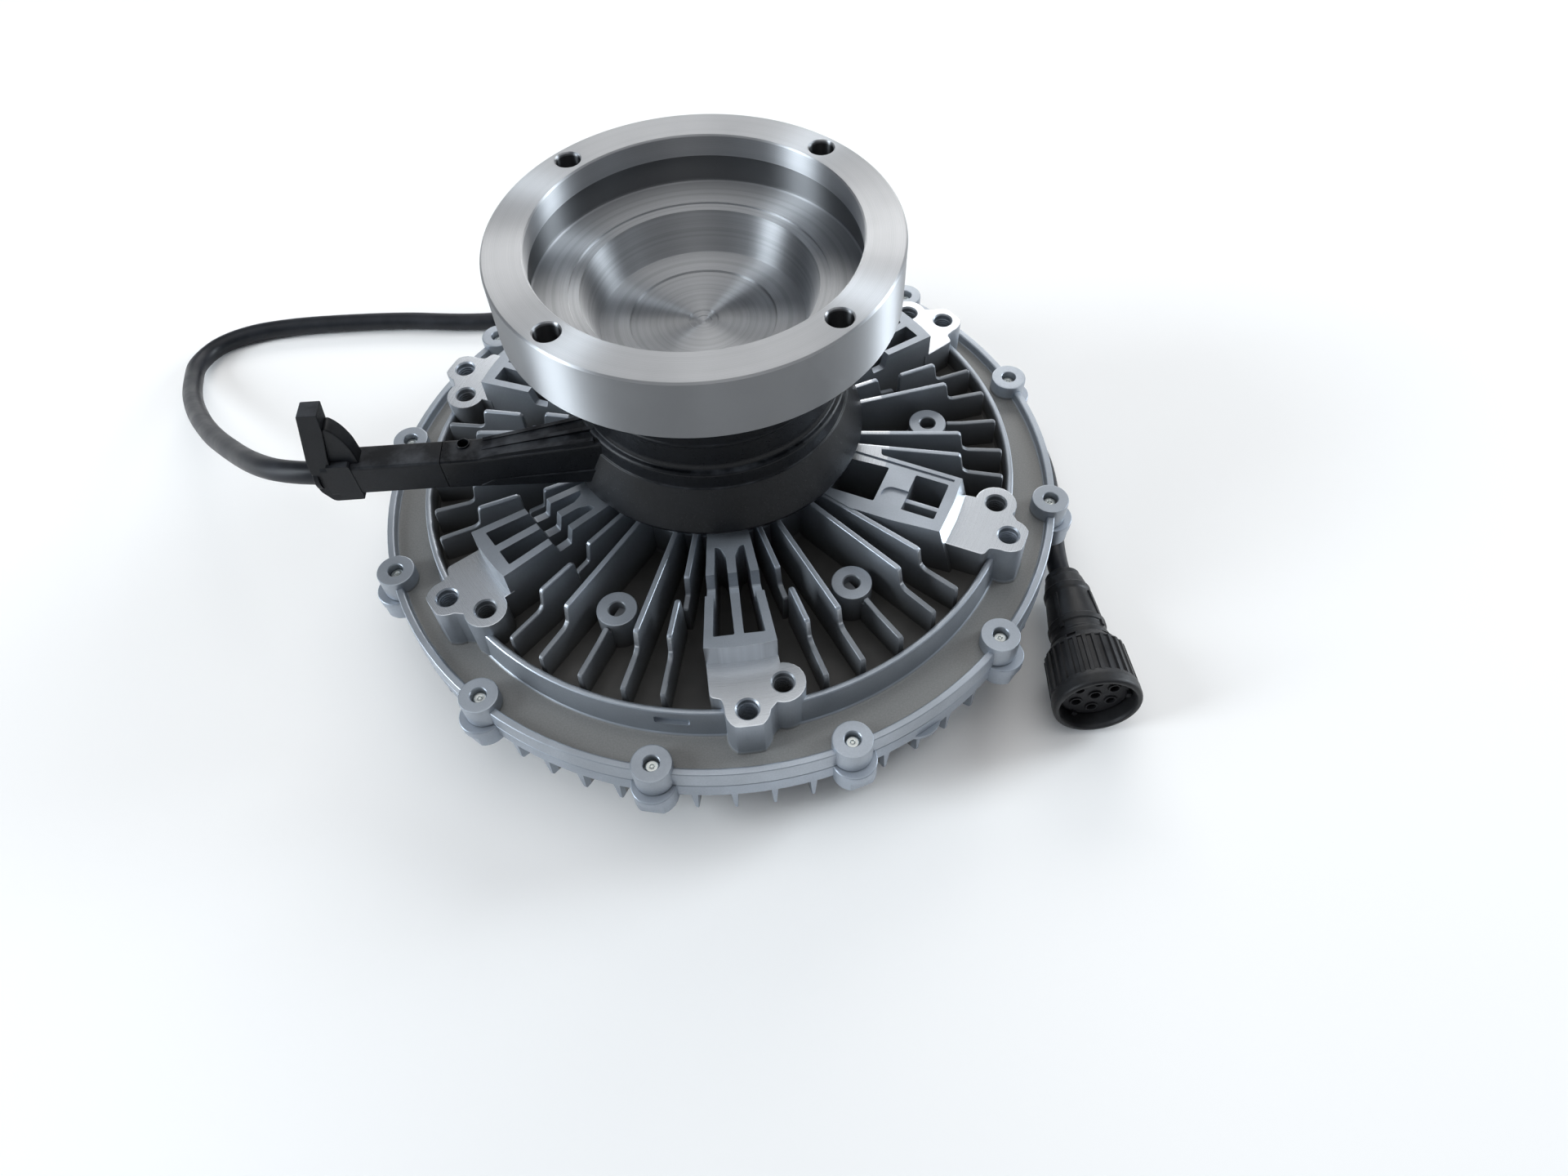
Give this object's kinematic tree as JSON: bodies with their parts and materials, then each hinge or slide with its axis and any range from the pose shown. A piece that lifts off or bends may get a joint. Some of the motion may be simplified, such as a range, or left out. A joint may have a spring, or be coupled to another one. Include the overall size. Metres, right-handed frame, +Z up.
{
  "type": "viscous fan clutch",
  "caption": "Finned viscous coupling for an engine fan: flange and shaft on top, sealed fluid chamber with fan seats, magnetic control coil with arm, lead and round plug.",
  "frame": {"origin": "on the shaft's axis, in the plane that the cover's fins and boss stand on", "axes": "+Z up along the shaft, towards the drive flange; -X towards the coil's arm, which leaves along it; +Y away from the picture's viewpoint"},
  "size_m": [0.4298, 0.3233, 0.166],
  "materials": {
    "cast_aluminium": "sand-cast, machined on the fan seats",
    "cover_aluminium": "die-cast, plain",
    "turned_steel": "turned bright",
    "bearing_steel": "ground",
    "cage_brass": "satin",
    "zinc_steel": "zinc plated",
    "spring_steel": "blued",
    "soft_iron": "plain turned",
    "enamelled_copper": "enamelled wire in resin",
    "rotor_aluminium": "machined",
    "seal_rubber": "matt",
    "coil_case_black": "moulded, satin",
    "guide_black": "moulded, satin",
    "cable_black": "smooth jacket",
    "plug_black": "moulded, fine grain",
    "insert_black": "moulded"
  },
  "bodies": {
    "housing": {"rear_housing": "cast_aluminium", "front_cover": "cover_aluminium", "cover_seal": "seal_rubber", "reservoir_plate": "zinc_steel", "valve_pin": "zinc_steel", "main_bearing_outer_race": "bearing_steel", "main_bearing_circlip": "spring_steel", "flux_ring": "soft_iron", "cover_screw_01": "zinc_steel", "cover_screw_02": "zinc_steel", "cover_screw_03": "zinc_steel", "cover_screw_04": "zinc_steel", "cover_screw_05": "zinc_steel", "cover_screw_06": "zinc_steel", "cover_screw_07": "zinc_steel", "cover_screw_08": "zinc_steel", "cover_screw_09": "zinc_steel", "cover_screw_10": "zinc_steel", "cover_screw_11": "zinc_steel", "cover_screw_12": "zinc_steel"},
    "shaft": {"drive_flange": "turned_steel", "rotor_disc": "rotor_aluminium", "rotor_nut": "zinc_steel", "main_bearing_inner_race": "bearing_steel", "coil_bearing_inner_race": "bearing_steel", "bearing_spacer": "soft_iron"},
    "coil": {"coil_housing": "coil_case_black", "coil_core": "soft_iron", "coil_winding": "enamelled_copper", "coil_bearing_outer_race": "bearing_steel", "coil_bearing_circlip": "spring_steel", "cable_guide": "guide_black", "cable": "cable_black", "plug_backshell": "plug_black", "plug_insert": "insert_black"},
    "main_cage": {"main_bearing_cage": "cage_brass"},
    "coil_cage": {"coil_bearing_cage": "cage_brass"},
    "valve": {"valve_lever": "spring_steel", "valve_armature": "soft_iron"},
    "coupling": {"coupling_ring": "plug_black"}
  },
  "joints": [
    {"name": "shaft_spin", "type": "hinge", "parent": "housing", "child": "shaft", "pos_m": [0, 0, 0.0655], "axis": [0, 0, 1], "continuous": true},
    {"name": "coil_spin", "type": "hinge", "parent": "shaft", "child": "coil", "pos_m": [0, 0, 0.1056], "axis": [0, 0, 1], "continuous": true},
    {"name": "main_cage_spin", "type": "hinge", "parent": "housing", "child": "main_cage", "pos_m": [0, 0, 0.0655], "axis": [0, 0, 1], "continuous": true},
    {"name": "coil_cage_spin", "type": "hinge", "parent": "shaft", "child": "coil_cage", "pos_m": [0, 0, 0.1056], "axis": [0, 0, 1], "continuous": true},
    {"name": "valve_swing", "type": "hinge", "parent": "housing", "child": "valve", "pos_m": [0.026, 0, 0.0217], "axis": [0, 0, 1], "range_deg": [0, 14], "stiffness_Nm_per_rad": 0.02},
    {"name": "coupling_turn", "type": "hinge", "parent": "coil", "child": "coupling", "pos_m": [0.1365, -0.121, 0.0202], "axis": [-0.0747, -0.9929, 0.0924], "range_deg": [0, 45]}
  ],
  "couplings": [
    {"joint": "main_cage_spin", "follows": "shaft_spin", "ratio": 0.396},
    {"joint": "coil_cage_spin", "follows": "coil_spin", "ratio": 0.58}
  ]
}
